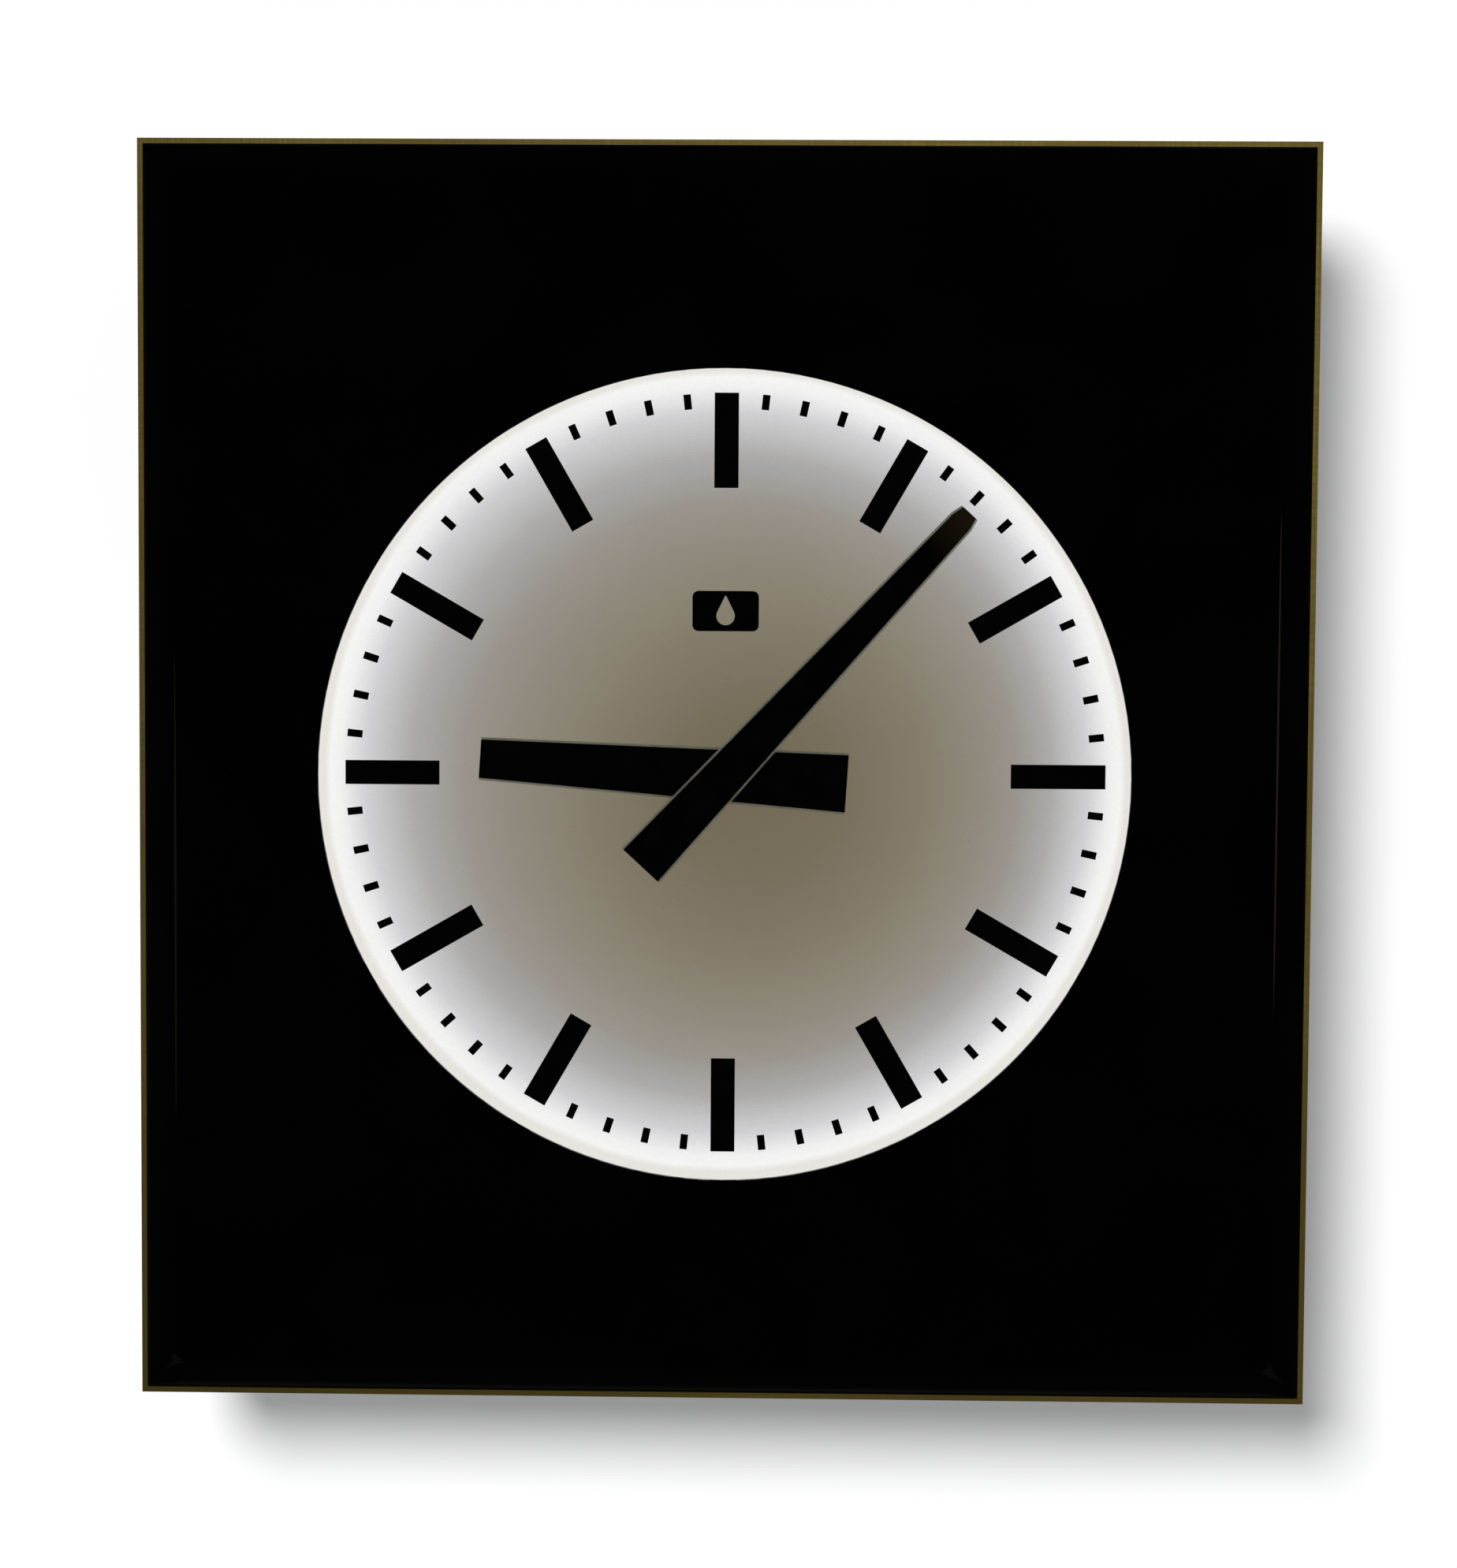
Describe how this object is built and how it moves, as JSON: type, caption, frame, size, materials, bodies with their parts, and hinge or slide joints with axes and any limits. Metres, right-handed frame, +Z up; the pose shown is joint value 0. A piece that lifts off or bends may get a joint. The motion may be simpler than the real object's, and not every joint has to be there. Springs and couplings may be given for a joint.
{
  "type": "service station advertising clock",
  "caption": "Illuminated rectangular wall clock: gloss black formed face with a round backlit dial, thin gold metal edge, tapered black hands, hinged front and geared movement inside.",
  "frame": {"origin": "middle of the four wall bolt holes, on the wall plane and on the axis of the dial", "axes": "+Z up, -Y out of the wall towards the viewer, +X to the viewer's right; the back of the case lies in the plane y = 0"},
  "size_m": [0.581, 0.116, 0.624],
  "materials": {
    "case_paint": "semi-gloss light grey enamel on sheet steel",
    "white_enamel": "gloss white enamel",
    "foam": "black closed-cell foam",
    "rubber_black": "moulded black rubber",
    "lamp_glass": "phosphor-coated glass",
    "white_plastic": "moulded white plastic",
    "terminal_plastic": "translucent cream plastic",
    "zinc_steel": "zinc plated steel",
    "ballast_steel": "varnished laminations",
    "brass": "machined brass",
    "lead_brown": "brown insulation",
    "lead_white": "white insulation",
    "lead_blue": "blue insulation",
    "opal_acrylic": "opal acrylic lit from behind",
    "black_print": "matt black film",
    "black_paint": "satin black paint on aluminium",
    "hand_acrylic": "translucent acrylic carrier",
    "gold_anodised": "dull gold anodised aluminium",
    "black_acrylic": "polished black acrylic",
    "clear_acrylic": "clear acrylic",
    "aluminium": "mill finish aluminium"
  },
  "bodies": {
    "case": {"case_tray": "case_paint", "case_gasket": "foam", "cable_grommet": "rubber_black", "earth_stud": "brass", "drum_posts": "case_paint", "reflector_drum": "white_enamel", "drum_screws": "zinc_steel", "lamp_tube": "lamp_glass", "lamp_cap": "white_plastic", "lamp_socket": "white_plastic", "lamp_clips": "zinc_steel", "ballast": "ballast_steel", "starter_can": "white_plastic", "starter_socket": "white_plastic", "terminal_block": "terminal_plastic", "gear_screws": "zinc_steel", "mains_leads": "lead_brown", "lamp_leads": "lead_white", "motor_leads": "lead_blue", "lead_grommets": "rubber_black", "movement_back_plate": "brass", "movement_front_plate": "brass", "movement_pillars": "brass", "movement_screws": "zinc_steel", "motor_can": "zinc_steel", "dial_bridge": "brass", "centre_nut": "black_paint", "dial_panel": "opal_acrylic", "hour_marks": "black_print", "minute_marks": "black_print", "badge": "black_print", "dial_screws": "zinc_steel", "dial_nuts": "zinc_steel", "hinge_case_leaves": "zinc_steel", "hinge_pins": "zinc_steel", "latch_catches": "zinc_steel"},
    "door": {"rail_top": "gold_anodised", "rail_bottom": "gold_anodised", "rail_left": "gold_anodised", "rail_right": "gold_anodised", "corner_keys": "zinc_steel", "frame_screws": "gold_anodised", "face_panel": "black_acrylic", "window_pane": "clear_acrylic", "window_ring": "aluminium", "window_bosses": "black_acrylic", "window_screws": "zinc_steel", "hinge_door_leaves": "zinc_steel"},
    "upper_latch": {"latch_upper": "zinc_steel"},
    "lower_latch": {"latch_lower": "zinc_steel"},
    "minute": {"minute_arbor": "brass", "minute_hand": "hand_acrylic", "minute_hand_face": "black_paint", "hand_nut": "black_paint"},
    "hour": {"hour_wheel": "brass", "hour_hand": "hand_acrylic", "hour_hand_face": "black_paint"},
    "motion": {"motion_wheel": "brass"},
    "rotor": {"motor_pinion": "brass"}
  },
  "joints": [
    {"name": "door_swing", "type": "hinge", "parent": "case", "child": "door", "pos_m": [-0.287, -0.066, 0], "axis": [0, 0, -1], "range_deg": [0, 105]},
    {"name": "upper_latch_turn", "type": "hinge", "parent": "door", "child": "upper_latch", "pos_m": [0.2905, -0.08, 0.15], "axis": [1, 0, 0], "range_deg": [0, 90]},
    {"name": "lower_latch_turn", "type": "hinge", "parent": "door", "child": "lower_latch", "pos_m": [0.2905, -0.08, -0.15], "axis": [1, 0, 0], "range_deg": [0, 90]},
    {"name": "minute_hand_spin", "type": "hinge", "parent": "case", "child": "minute", "pos_m": [0, -0.1, 0], "axis": [0, 1, 0], "continuous": true},
    {"name": "hour_hand_spin", "type": "hinge", "parent": "case", "child": "hour", "pos_m": [0, -0.1, 0], "axis": [0, 1, 0], "continuous": true},
    {"name": "motion_wheel_spin", "type": "hinge", "parent": "case", "child": "motion", "pos_m": [0.024, -0.07, 0], "axis": [0, 1, 0], "continuous": true},
    {"name": "motor_pinion_spin", "type": "hinge", "parent": "case", "child": "rotor", "pos_m": [0, -0.06, -0.028], "axis": [0, 1, 0], "continuous": true}
  ],
  "couplings": [
    {"joint": "hour_hand_spin", "follows": "minute_hand_spin", "ratio": 0.083333},
    {"joint": "motion_wheel_spin", "follows": "minute_hand_spin", "ratio": -0.33333},
    {"joint": "motor_pinion_spin", "follows": "minute_hand_spin", "ratio": -6}
  ]
}
